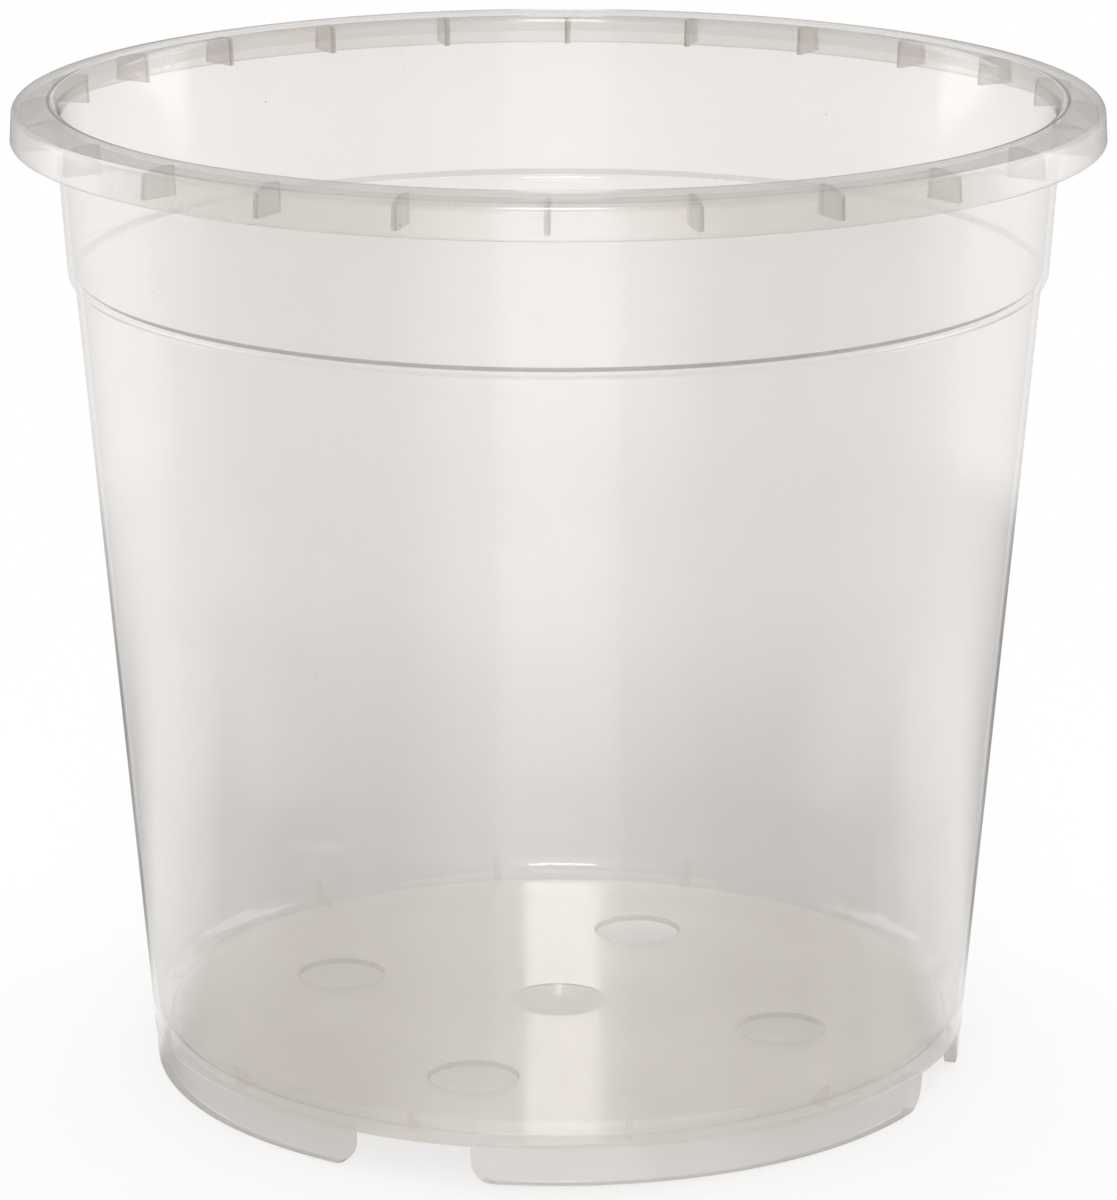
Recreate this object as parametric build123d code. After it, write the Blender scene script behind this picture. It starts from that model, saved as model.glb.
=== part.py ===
from build123d import *
import math
import os

# Clear orchid pot with a channel rim, a stepped collar and a slotted foot.
# It is one injection moulding, modelled as the regions it is designed from,
# which meet face to face. Millimetres, +Z up, origin under the middle of the
# foot, and one foot slot on each of +X, +Y, -X and -Y.

# whole pot
pot_height = 156.0
rim_diameter = 170.0
wall_thickness = 0.9

# collar and tapered wall, and how far each draws in on its way down
collar_height = 27.3
collar_lean = 1.75
wall_lean = 10.7

# rim: a channel that opens downwards
rim_reach = 6.8
rim_thickness = 1.1
rim_depth = 3.2
rim_flat = 1.2
rim_fall = 0.8
rim_inner_fillet = 2.0
rim_crest_fillet = 8.0
rim_outer_fillet = 1.4
channel_fillet = 0.9
skirt_height = 6.3
skirt_flare = 0.4
skirt_edge_fillet = 0.35

# thin webs that brace the channel
web_count = 24
web_thickness = 0.9
web_start_angle = 4.3
web_clearance = 0.8

# step between the collar and the tapered wall
step_depth = 1.0
step_drop = 1.0
step_lift = 0.7
step_outer_fillet = 1.2
step_inner_fillet = 0.5
step_land = 2.2

# floor, its rounded corner and the small ribs in that corner
floor_thickness = 1.0
heel_fillet = 3.4
heel_land = 0.5
rib_count = 12
rib_thickness = 0.8
rib_reach = 0.6

# drain holes round a raised gate dome
hole_count = 4
hole_diameter = 14.0
hole_ring_inset = 26.75
hole_edge_fillet = 0.3
dome_diameter = 16.0
dome_rise = 1.5
gate_diameter = 2.4
gate_length = 0.9

# foot: a ring under the floor, cut through by slots
foot_height = 6.1
foot_top_thickness = 2.4
foot_base_thickness = 1.8
foot_outer_fillet = 0.6
foot_inner_fillet = 0.35
slot_count = 4
slot_width = 19.5
slot_corner_radius = 3.6

# how far a cutter runs past what it cuts
overrun = 5.0

full_turn = 360.0

# diameters that follow from those above
collar_top_diameter = rim_diameter - 2 * rim_reach
collar_base_diameter = collar_top_diameter - 2 * collar_lean
foot_diameter = collar_base_diameter - 2 * (step_depth + wall_lean)
hole_ring_diameter = foot_diameter - 2 * hole_ring_inset

# heights that follow from those above
step_height = pot_height - collar_height
floor_top = foot_height + floor_thickness
rim_joint = pot_height - rim_depth
skirt_base = pot_height - skirt_height
shoulder_top = step_height + step_land
shoulder_base = step_height - step_drop - step_land


def line_radius(height, low_radius, low_height, high_radius, high_height):
    """Radius at a height on the straight line through two others."""
    slope = (high_radius - low_radius) / (high_height - low_height)
    return low_radius + slope * (height - low_height)


def collar_outer(height):
    """Outer radius of the collar, also inside the rim channel."""
    low_radius = collar_base_diameter / 2
    return line_radius(height, low_radius, step_height, collar_top_diameter / 2, pot_height)


def collar_inner(height):
    """Inner radius of the collar."""
    return collar_outer(height) - wall_thickness


def wall_outer(height):
    """Outer radius of the tapered wall, also down the outside of the foot."""
    high_radius = collar_base_diameter / 2 - step_depth
    return line_radius(height, foot_diameter / 2, 0, high_radius, step_height)


def wall_inner(height):
    """Inner radius of the tapered wall."""
    return wall_outer(height) - wall_thickness


def skirt_outer(height):
    """Outer radius of the rim's hanging skirt, which flares downwards."""
    low_radius = rim_diameter / 2
    return line_radius(height, low_radius, skirt_base, low_radius - skirt_flare, pot_height)


def skirt_inner(height):
    """Inner radius of the rim's hanging skirt."""
    return skirt_outer(height) - rim_thickness


def section(points, rounded=()):
    """Flat section in (radius, height), with some of its corners rounded."""
    face = make_face(Polyline(*points, close=True))
    for corner, radius in rounded:
        nearest = face.vertices().sort_by_distance((*corner, 0))[0]
        face = fillet(nearest, radius)
    return face


def turned(face, arc=full_turn):
    """Solid that a section sweeps round the pot's axis, centred on +X."""
    start = 0 if arc == full_turn else -arc / 2
    return Rot(0, 0, start) * revolve(Plane.XZ * face, Axis.Z, arc)


def radial_slice(face, thickness):
    """Plate of even thickness cut from a turned section, standing along +X."""
    wide_arc = 2 * math.degrees(thickness / (foot_diameter / 2))
    plate = Box(rim_diameter, thickness, pot_height, align=(Align.MIN, Align.CENTER, Align.MIN))
    return turned(face, wide_arc) & plate


def around(piece, count, start_angle=0.0):
    """Copies of a piece, evenly spaced round the pot's axis."""
    pitch = full_turn / count
    return [Rot(0, 0, start_angle + index * pitch) * piece for index in range(count)]


def rim_section():
    """Whole hooked section of the rim, from the collar over to the skirt."""
    crest = collar_inner(pot_height) + rim_inner_fillet + rim_flat
    outer_top = pot_height - rim_fall
    under_top = pot_height - rim_thickness
    under_outer = outer_top - rim_thickness
    inner_corner = (collar_inner(pot_height), pot_height)
    crest_corner = (crest, pot_height)
    outer_corner = (skirt_outer(outer_top), outer_top)
    skirt_corner = (skirt_outer(skirt_base), skirt_base)
    skirt_inner_corner = (skirt_inner(skirt_base), skirt_base)
    channel_outer_corner = (skirt_inner(under_outer), under_outer)
    channel_inner_corner = (collar_outer(under_top), under_top)
    points = [
        (collar_inner(rim_joint), rim_joint),
        inner_corner,
        crest_corner,
        outer_corner,
        skirt_corner,
        skirt_inner_corner,
        channel_outer_corner,
        (crest, under_top),
        channel_inner_corner,
        (collar_outer(rim_joint), rim_joint),
    ]
    rounded = [
        (inner_corner, rim_inner_fillet),
        (crest_corner, rim_crest_fillet),
        (outer_corner, rim_outer_fillet),
        (skirt_corner, skirt_edge_fillet),
        (skirt_inner_corner, skirt_edge_fillet),
        (channel_outer_corner, channel_fillet),
        (channel_inner_corner, channel_fillet),
    ]
    return section(points, rounded)


def band(low, high):
    """Flat band of the section plane between two heights."""
    width = rim_diameter + overrun
    return Pos(0, low) * Rectangle(width, high - low, align=(Align.CENTER, Align.MIN))


def make_rim_top():
    """Rounded top of the rim, which bridges the collar and the skirt."""
    return turned(rim_section() & band(rim_joint, pot_height + overrun))


def make_rim_skirt():
    """Skirt that hangs from the rim's outer edge."""
    return turned(rim_section() & band(skirt_base - overrun, rim_joint))


def make_rim_web():
    """One radial web, which fills the channel's section above the skirt's edge."""
    low = skirt_base + web_clearance
    inner_high = pot_height - rim_thickness / 2
    outer_high = inner_high - rim_fall
    channel = section([
        (collar_outer(low), low),
        (skirt_inner(low), low),
        (skirt_inner(outer_high), outer_high),
        (collar_outer(inner_high), inner_high),
    ])
    return radial_slice(channel - rim_section(), web_thickness)


def make_collar():
    """Straight band between the rim and the step."""
    return turned(section([
        (collar_outer(shoulder_top), shoulder_top),
        (collar_outer(rim_joint), rim_joint),
        (collar_inner(rim_joint), rim_joint),
        (collar_inner(shoulder_top), shoulder_top),
    ]))


def make_shoulder():
    """Ring with the step, which turns in from the collar to the tapered wall."""
    ledge = step_height - step_drop
    outer_high = (collar_outer(step_height), step_height)
    outer_low = (wall_outer(ledge), ledge)
    inner_high = (collar_inner(step_height), step_height + step_lift)
    inner_low = (wall_inner(ledge), ledge + step_lift)
    points = [
        (wall_outer(shoulder_base), shoulder_base),
        outer_low,
        outer_high,
        (collar_outer(shoulder_top), shoulder_top),
        (collar_inner(shoulder_top), shoulder_top),
        inner_high,
        inner_low,
        (wall_inner(shoulder_base), shoulder_base),
    ]
    rounded = [
        (outer_high, step_outer_fillet),
        (outer_low, step_inner_fillet),
        (inner_high, step_inner_fillet),
        (inner_low, step_outer_fillet),
    ]
    return turned(section(points, rounded))


def heel_tangent():
    """Length of floor that the heel's fillet takes up from the sharp corner."""
    rise = step_height
    lean = math.atan((wall_outer(rise) - wall_outer(0)) / rise)
    return heel_fillet * math.tan((math.pi / 2 - lean) / 2)


def floor_radius():
    """Radius of the flat floor plate, which the heel surrounds."""
    return wall_inner(floor_top) - heel_tangent() - heel_land


def heel_top():
    """Height at which the heel hands over to the tapered wall."""
    return floor_top + heel_tangent() + heel_land


def heel_section():
    """Section of the rounded corner between the floor and the wall."""
    sharp = (wall_inner(floor_top), floor_top)
    points = [
        (floor_radius(), foot_height),
        (wall_outer(foot_height), foot_height),
        (wall_outer(heel_top()), heel_top()),
        (wall_inner(heel_top()), heel_top()),
        sharp,
        (floor_radius(), floor_top),
    ]
    return section(points, [(sharp, heel_fillet)])


def make_side_wall():
    """Tapered wall between the heel and the step."""
    return turned(section([
        (wall_outer(heel_top()), heel_top()),
        (wall_outer(shoulder_base), shoulder_base),
        (wall_inner(shoulder_base), shoulder_base),
        (wall_inner(heel_top()), heel_top()),
    ]))


def make_floor_rib():
    """One small rib across the rounded corner, on the floor and the wall."""
    reach = heel_tangent() + rib_reach
    high = floor_top + reach
    corner = section([
        (wall_inner(floor_top) - reach, floor_top),
        (wall_inner(floor_top), floor_top),
        (wall_inner(high), high),
    ])
    return radial_slice(corner - heel_section(), rib_thickness)


def cap_height(radius, base, rise, edge_radius):
    """Height of a shallow round cap at a radius from its middle."""
    sphere = (edge_radius ** 2 + rise ** 2) / (2 * rise)
    return base + rise - sphere + math.sqrt(sphere ** 2 - radius ** 2)


def make_gate_dome():
    """Raised cap in the middle of the floor, with the gate's stub under it."""
    edge = dome_diameter / 2

    def cap_arc(base):
        middle = (edge / 2, cap_height(edge / 2, base, dome_rise, edge))
        return ThreePointArc((0, base + dome_rise), middle, (edge, base))

    upper = cap_arc(floor_top)
    lower = cap_arc(foot_height)
    outline = [
        upper,
        Line((edge, floor_top), (edge, foot_height)),
        lower,
        Line((0, foot_height + dome_rise), (0, floor_top + dome_rise)),
    ]
    gate_top = foot_height + dome_rise + floor_thickness / 2
    gate_base = foot_height + dome_rise - gate_length
    gate = section([
        (0, gate_base),
        (gate_diameter / 2, gate_base),
        (gate_diameter / 2, gate_top),
        (0, gate_top),
    ])
    return turned(make_face(outline) + gate)


def make_floor_plate():
    """Flat floor with its drain holes, open in the middle for the gate dome."""
    upright = (Align.CENTER, Align.CENTER, Align.MIN)
    plate = Cylinder(floor_radius(), floor_thickness, align=upright)
    plate -= Cylinder(dome_diameter / 2, floor_thickness, align=upright)
    drill = Cylinder(hole_diameter / 2, floor_thickness, align=upright)
    plate -= around(Pos(hole_ring_diameter / 2, 0, 0) * drill, hole_count)
    hole_edges = [
        edge for edge in plate.edges().filter_by(GeomType.CIRCLE)
        if math.isclose(edge.radius, hole_diameter / 2)
    ]
    return Pos(0, 0, foot_height) * fillet(hole_edges, hole_edge_fillet)


def foot_section():
    """Section of the foot, thinner at the ground, with rounded lower edges."""
    outer_low = (wall_outer(0), 0)
    inner_low = (wall_outer(0) - foot_base_thickness, 0)
    points = [
        outer_low,
        (wall_outer(foot_height), foot_height),
        (wall_outer(foot_height) - foot_top_thickness, foot_height),
        inner_low,
    ]
    return section(points, [(outer_low, foot_outer_fillet), (inner_low, foot_inner_fillet)])


def slot_cutter():
    """Bar along +X with the slot's outline, flared round its lower corners."""
    half = slot_width / 2
    base_half = half + slot_corner_radius
    lens = slot_corner_radius * math.sqrt(2) / 2
    arc_side = base_half - lens
    arc_height = slot_corner_radius - lens
    outline = [
        Line((-base_half, 0), (-base_half, -overrun)),
        Line((-base_half, -overrun), (base_half, -overrun)),
        Line((base_half, -overrun), (base_half, 0)),
        ThreePointArc((base_half, 0), (arc_side, arc_height), (half, slot_corner_radius)),
        Line((half, slot_corner_radius), (half, foot_height + overrun)),
        Line((half, foot_height + overrun), (-half, foot_height + overrun)),
        Line((-half, foot_height + overrun), (-half, slot_corner_radius)),
        ThreePointArc((-half, slot_corner_radius), (-arc_side, arc_height), (-base_half, 0)),
    ]
    return extrude(Plane.YZ * make_face(outline), foot_diameter)


def make_foot():
    """One foot, the stretch of ring between two slots, centred on +X."""
    pitch = full_turn / slot_count
    foot = turned(foot_section(), pitch)
    for side in (-pitch / 2, pitch / 2):
        foot -= Rot(0, 0, side) * slot_cutter()
    return foot


def numbered(name, pieces, digits):
    """Names for a set of like pieces, counted from one."""
    return {f"{name}_{index + 1:0{digits}d}": piece for index, piece in enumerate(pieces)}


slot_pitch = full_turn / slot_count

nodes = {
    "rim_top": make_rim_top(),
    "rim_skirt": make_rim_skirt(),
    "collar": make_collar(),
    "shoulder": make_shoulder(),
    "side_wall": make_side_wall(),
    "heel": turned(heel_section()),
    "floor_plate": make_floor_plate(),
    "gate_dome": make_gate_dome(),
}
nodes.update(numbered("rim_web", around(make_rim_web(), web_count, web_start_angle), 2))
nodes.update(numbered("floor_rib", around(make_floor_rib(), rib_count), 2))
nodes.update(numbered("foot", around(make_foot(), slot_count, slot_pitch / 2), 1))

os.makedirs("parts", exist_ok=True)
for name, piece in nodes.items():
    export_step(piece, f"parts/{name}.step")

print(len(nodes), "nodes")
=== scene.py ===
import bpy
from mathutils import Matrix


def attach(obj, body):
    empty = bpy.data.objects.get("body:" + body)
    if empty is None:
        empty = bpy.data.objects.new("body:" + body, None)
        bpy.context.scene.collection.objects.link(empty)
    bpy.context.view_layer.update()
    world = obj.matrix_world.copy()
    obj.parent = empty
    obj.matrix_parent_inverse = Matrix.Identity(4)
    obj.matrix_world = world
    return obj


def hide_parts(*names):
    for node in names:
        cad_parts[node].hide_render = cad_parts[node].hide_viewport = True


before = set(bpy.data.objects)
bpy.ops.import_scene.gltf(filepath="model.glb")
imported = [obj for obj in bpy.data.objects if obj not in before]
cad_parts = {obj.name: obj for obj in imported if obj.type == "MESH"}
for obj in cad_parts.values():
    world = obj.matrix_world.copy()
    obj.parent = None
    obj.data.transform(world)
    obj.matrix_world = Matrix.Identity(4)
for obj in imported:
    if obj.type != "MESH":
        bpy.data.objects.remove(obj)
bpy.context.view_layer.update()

import bpy
import bmesh
import math
from mathutils import Matrix, Vector

mm = 0.001
fullTurn = 2 * math.pi
plainWhite = (1, 1, 1, 1)
nearGap = 1e-5      # metres: a face this near a height lies on it
seamGap = 1e-6      # where a sweep's ends meet
axisGap = 1e-6      # nearer the axis than this nothing looks outward
weldGap = 2e-7      # points this close are one
thinGap = 1e-7      # edges this short go
levelNormal = 0.99  # a face lies level where its normal's z passes this
noiseMiddle = 0.5

# the whole pot, in millimetres
pot = {
    "height": 156.0,
    "rimRadius": 84.96,
    "collarTopRadius": 78.2,
    "collarBaseRadius": 76.45,
    "stepHeight": 128.7,
    "wallTopRadius": 75.45,
    "footRadius": 64.75,
    "wallThickness": 0.9,
    "floorUnderside": 6.1,
    "floorTop": 7.1,
    "wallBase": 10.73,      # where the rounded corner hands over to the wall
    "rimBase": 152.8,       # where the collar hands over to the rim
    "facets": 288,
}


def lineAt(height, lowRadius, lowHeight, highRadius, highHeight):
    return lowRadius + (highRadius - lowRadius) * (height - lowHeight) / (highHeight - lowHeight)


def collarOuter(height):
    return lineAt(height, pot["collarBaseRadius"], pot["stepHeight"], pot["collarTopRadius"], pot["height"])


def collarInner(height):
    return collarOuter(height) - pot["wallThickness"]


def wallOuter(height):
    return lineAt(height, pot["footRadius"], 0, pot["wallTopRadius"], pot["stepHeight"])


def wallInner(height):
    return wallOuter(height) - pot["wallThickness"]


# outlines: corners are (radius, height) or (radius, height, fillet)

def roundedOutline(corners, closed=True, steps=7):
    points = []
    count = len(corners)
    for index, corner in enumerate(corners):
        here = Vector(corner[:2])
        if len(corner) < 3 or (not closed and index in (0, count - 1)):
            points.append(here)
            continue
        toBack = (Vector(corners[index - 1][:2]) - here).normalized()
        toNext = (Vector(corners[(index + 1) % count][:2]) - here).normalized()
        half = toBack.angle(toNext) / 2
        middle = here + (toBack + toNext).normalized() * corner[2] / math.sin(half)
        start = here + toBack * corner[2] / math.tan(half) - middle
        sweep = start.angle_signed(here + toNext * corner[2] / math.tan(half) - middle)
        for step in range(steps + 1):
            points.append(middle + Matrix.Rotation(-sweep * step / steps, 2) @ start)
    return points


def flaredMouth(size, steps):
    # quarter round at a cut's mouth, from the mouth inwards, as (outwards, inwards)
    angles = [step * math.pi / (2 * steps) for step in range(steps + 1)]
    return [(size * (1 - math.sin(angle)), size * (1 - math.cos(angle))) for angle in angles]


def outlineObject(name, points, closed=True):
    mesh = bpy.data.meshes.new(name)
    spots = [(point[0] * mm, 0, point[1] * mm) for point in points]
    edges = [(index, index + 1) for index in range(len(spots) - 1)]
    if closed:
        edges.append((len(spots) - 1, 0))
    mesh.from_pydata(spots, edges, [])
    return linked(name, mesh)


def prismObject(name, points, thickness, placeOf):
    # an outline made into a plate of even thickness, in two layers; placeOf says how it stands
    mesh = bpy.data.meshes.new(name)
    count = len(points)
    spots = [placeOf(point, side * thickness / 2) for side in (-1, 0, 1) for point in points]
    faces = [tuple(range(count)), tuple(reversed(range(2 * count, 3 * count)))]
    for layer in (0, count):
        for index in range(count):
            here, after = layer + index, layer + (index + 1) % count
            faces.append((here, here + count, after + count, after))
    mesh.from_pydata([Vector(spot) * mm for spot in spots], [], faces)
    return linked(name, mesh)


def standingPlate(point, side):
    # upright, and looking at the pot's axis edge on
    return point[0], side, point[1]


def linked(name, mesh):
    piece = bpy.data.objects.new(name, mesh)
    bpy.context.scene.collection.objects.link(piece)
    return piece


# geometry node trees

def newTree(name, inputs):
    tree = bpy.data.node_groups.new(name, "GeometryNodeTree")
    tree.interface.new_socket("Geometry", in_out="INPUT", socket_type="NodeSocketGeometry")
    for label, kind in inputs:
        tree.interface.new_socket(label, in_out="INPUT", socket_type=kind)
    tree.interface.new_socket("Geometry", in_out="OUTPUT", socket_type="NodeSocketGeometry")
    return tree, tree.nodes.new("NodeGroupInput"), tree.nodes.new("NodeGroupOutput")


def chain(tree, source, *kinds):
    # nodes one after another along their geometry sockets
    made = []
    for kind in kinds:
        link = tree.nodes.new(kind)
        tree.links.new(source.outputs[0], link.inputs[0])
        made.append(link)
        source = link
    return made


def closeTree(tree, source, inlet, outlet):
    paint = chain(tree, source, "GeometryNodeRealizeInstances", "GeometryNodeSetMaterial")[-1]
    tree.links.new(inlet.outputs["Material"], paint.inputs["Material"])
    tree.links.new(paint.outputs[0], outlet.inputs[0])


def turnedProfileTree():
    # sweeps the piece's own outline round the pot's axis
    tree, inlet, outlet = newTree("turnedProfile", [
        ("Facets", "NodeSocketInt"),
        ("Sweep Radius", "NodeSocketFloat"),
        ("Material", "NodeSocketMaterial"),
    ])
    move, stand, toCurve = chain(
        tree, inlet, "GeometryNodeTransform", "GeometryNodeTransform", "GeometryNodeMeshToCurve")
    inward = tree.nodes.new("ShaderNodeMath")
    inward.operation = "MULTIPLY"
    inward.inputs[1].default_value = -1
    offset = tree.nodes.new("ShaderNodeCombineXYZ")
    stand.inputs["Rotation"].default_value = (math.pi / 2, 0, 0)
    circle = tree.nodes.new("GeometryNodeCurvePrimitiveCircle")
    sweep = tree.nodes.new("GeometryNodeCurveToMesh")
    tree.links.new(inlet.outputs["Sweep Radius"], inward.inputs[0])
    tree.links.new(inward.outputs[0], offset.inputs["X"])
    tree.links.new(offset.outputs[0], move.inputs["Translation"])
    tree.links.new(inlet.outputs["Facets"], circle.inputs["Resolution"])
    tree.links.new(inlet.outputs["Sweep Radius"], circle.inputs["Radius"])
    tree.links.new(circle.outputs[0], sweep.inputs["Curve"])
    tree.links.new(toCurve.outputs[0], sweep.inputs["Profile Curve"])
    merge = chain(tree, sweep, "GeometryNodeMergeByDistance")[0]
    merge.inputs["Distance"].default_value = seamGap
    closeTree(tree, merge, inlet, outlet)
    return tree


def ringOfCopiesTree():
    # sets equal copies of the piece's own mesh round the pot's axis
    tree, inlet, outlet = newTree("ringOfCopies", [
        ("Count", "NodeSocketInt"),
        ("Start Angle", "NodeSocketFloat"),
        ("Material", "NodeSocketMaterial"),
    ])
    whole = chain(tree, inlet, "GeometryNodeGeometryToInstance")[0]
    copies, turn = chain(tree, whole, "GeometryNodeDuplicateElements", "GeometryNodeRotateInstances")
    copies.domain = "INSTANCE"
    turn.inputs["Local Space"].default_value = False
    pitch = tree.nodes.new("ShaderNodeMath")
    pitch.operation = "DIVIDE"
    pitch.inputs[0].default_value = fullTurn
    angle = tree.nodes.new("ShaderNodeMath")
    angle.operation = "MULTIPLY_ADD"
    turned = tree.nodes.new("ShaderNodeCombineXYZ")
    tree.links.new(inlet.outputs["Count"], copies.inputs["Amount"])
    tree.links.new(inlet.outputs["Count"], pitch.inputs[1])
    tree.links.new(copies.outputs["Duplicate Index"], angle.inputs[0])
    tree.links.new(pitch.outputs[0], angle.inputs[1])
    tree.links.new(inlet.outputs["Start Angle"], angle.inputs[2])
    tree.links.new(angle.outputs[0], turned.inputs["Z"])
    tree.links.new(turned.outputs[0], turn.inputs["Rotation"])
    closeTree(tree, turn, inlet, outlet)
    return tree


def addTree(piece, tree, values):
    modifier = piece.modifiers.new(tree.name, "NODES")
    modifier.node_group = tree
    for socket in tree.interface.items_tree:
        if socket.in_out == "INPUT" and socket.name in values:
            modifier[socket.identifier] = values[socket.name]


def takeModifiers(piece):
    # the evaluated mesh, with the modifiers gone from the piece
    graph = bpy.context.evaluated_depsgraph_get()
    mesh = bpy.data.meshes.new_from_object(piece.evaluated_get(graph))
    piece.modifiers.clear()
    mesh.name = piece.name
    return mesh


def plainMesh(piece, sharpAngle=32):
    # bakes the modifiers into the mesh, closes seams and poles, points the faces outwards
    mesh = takeModifiers(piece)
    work = bmesh.new()
    work.from_mesh(mesh)
    bmesh.ops.remove_doubles(work, verts=work.verts, dist=weldGap)
    bmesh.ops.dissolve_degenerate(work, edges=work.edges, dist=thinGap)
    bmesh.ops.recalc_face_normals(work, faces=work.faces)
    work.to_mesh(mesh)
    work.free()
    mesh.shade_smooth()
    mesh.set_sharp_from_angle(angle=math.radians(sharpAngle))
    piece.data = mesh
    return piece


def finishedMesh(piece):
    # large faces keep their own normals, and the small rounded edges turn between them
    evenNormals = piece.modifiers.new("evenNormals", "WEIGHTED_NORMAL")
    evenNormals.keep_sharp = True
    evenNormals.weight = 100
    piece.data = takeModifiers(piece)
    return piece


def hideJoints(piece, heights):
    # the ring faces where two regions of the one moulding meet aren't surfaces
    def isJoint(face):
        level = abs(face.normal.z) > levelNormal
        return level and any(abs(face.center.z - height * mm) < nearGap for height in heights)

    paintFaces(piece, jointFace, isJoint)


def paintFaces(piece, material, belongs):
    piece.data.materials.append(material)
    place = len(piece.data.materials) - 1
    for face in piece.data.polygons:
        if belongs(face):
            face.material_index = place


def outward(face):
    # how far a face looks away from the pot's axis, from -1 to 1
    flat = face.center.xy
    return face.normal.xy.dot(flat) / flat.length if flat.length > axisGap else 0.0


# nodes of the materials

def node(tree, kind, inputs=None, **settings):
    made = tree.nodes.new(kind)
    for name, value in settings.items():
        setattr(made, name, value)
    for name, value in (inputs or {}).items():
        if isinstance(value, bpy.types.NodeSocket):
            tree.links.new(value, made.inputs[name])
        else:
            made.inputs[name].default_value = value
    return made


def calc(tree, operation, first, second=None, third=None):
    made = tree.nodes.new("ShaderNodeMath")
    made.operation = operation
    for place, value in enumerate((first, second, third)):
        if isinstance(value, bpy.types.NodeSocket):
            tree.links.new(value, made.inputs[place])
        elif value is not None:
            made.inputs[place].default_value = value
    return made.outputs[0]


def noise(tree, place, scale, detail=0.0):
    return node(tree, "ShaderNodeTexNoise", {
        "Vector": place, "Scale": scale, "Detail": detail}).outputs["Fac"]


def fade(tree, value, band, low=0.0, high=1.0, course="SMOOTHSTEP"):
    # goes from low to high while the value crosses the band
    return node(tree, "ShaderNodeMapRange", {
        "Value": value, "From Min": band[0], "From Max": band[1], "To Min": low, "To Max": high},
        interpolation_type=course).outputs[0]


def between(tree, share, first, second):
    return node(tree, "ShaderNodeMix", {0: share, 2: first, 3: second}).outputs[0]


def blended(tree, share, first, second):
    # the same for two colours
    return node(tree, "ShaderNodeMix", {0: share, 6: first, 7: second}, data_type="RGBA").outputs[2]


def eitherShader(tree, share, first, second):
    made = node(tree, "ShaderNodeMixShader", {"Fac": share})
    tree.links.new(first.outputs[0], made.inputs[1])
    tree.links.new(second.outputs[0], made.inputs[2])
    return made


def newMaterial(name):
    material = bpy.data.materials.new(name)
    material.use_nodes = True
    material.node_tree.nodes.clear()
    return material


def showShader(tree, shader, kind="ShaderNodeOutputMaterial"):
    tree.links.new(shader.outputs[0], node(tree, kind).inputs["Surface"])


# the moulded plastic, which each finish below changes; many finishes paint light or shade into its colours
plastic = {
    "passes": (0.993, 0.983, 0.977, 1),   # what a face lets through
    "dark": (0.70, 0.667, 0.637, 1),
    "light": (0.80, 0.768, 0.740, 1),
    # dust specks, the longer way through a slanted wall, painted edge shade and the painted line darken a
    # face towards this colour
    "edgeColour": (0.17, 0.16, 0.145, 1),
    "cloud": 0.19,              # share of a face's light that the haze takes
    "cloudSwing": 0.07,
    "edgeCloud": 0.95,          # more haze where a face is seen edge on
    "edgePower": 9.0,
    "highEdge": 1.0,            # share of the edge haze and painted edge shade left near the top of the pot
    "lineCloud": 0.0,           # painted dark line where the lower wall is seen edge on
    "spanCloud": 0.30,          # haze gained over the longer way through a slanted wall
    "spanPower": 5.0,
    "tiltCloud": 0.0,           # more haze where a face leans away from upright
    "cloudBehind": 1.0,         # share of the haze that shows when the face is met from inside the wall
    "cloudBefore": 1.0,         # and from the open air
    "roughness": 0.035,
    "roughSwing": 0.05,
    "waviness": 0.08,
    "gloss": 0.05,
    "edgeGloss": 0.55,
    "shade": (0.87, 0.86, 0.845, 1),      # what the pot's shadow lets through
    "fineGrain": 0.1,
    "speckSize": 0.024,
    "speckShare": 0.15,
    "hairWidth": 0.0016,
    "hairCloud": 0.06,
}

# what all the finishes share: marks with their sizes as noise scales, then what the haze and the painted
# shade at the edges follow, as heights in metres or as how far a face turns away
marks = {
    "driftScale": 26.0,
    "driftShare": 0.9,
    "streakScale": (120, 120, 7),
    "streakShare": 0.8,
    "grainScale": 900.0,
    "grainShare": 0.3,
    "toothScale": 3000.0,
    "swing": (-0.25, 0.25),     # from the dark colour to the light one
    "speckScale": 150.0,
    "speckCloud": 0.5,
    "hairScale": 75.0,
    "hairPatchScale": 48.0,
    "hairPatch": 0.63,          # hairlines show where the patches pass this
    "rubScale": (30, 30, 90),
    "rubTurn": (0.2, 0.5, 0.3),
    "rubBand": (0.52, 0.80),
    "rubCloud": 0.012,
    "rubRoughness": 0.1,
    "waveScale": 45.0,
    "waveHeight": 0.001,
    "spanDark": 0.3,
    "sheenPower": 4.5,
    "lightBending": 1.49,
    "throughShare": 0.5,        # share of the haze that shows light from behind
    "highBand": (0.12, 0.06),
    "lineBand": (0.87, 0.925),
    "lineTop": (0.105, 0.06),
    "lineBase": (0.012, 0.03),
    "tiltBand": (0.15, 0.45),
}


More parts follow.
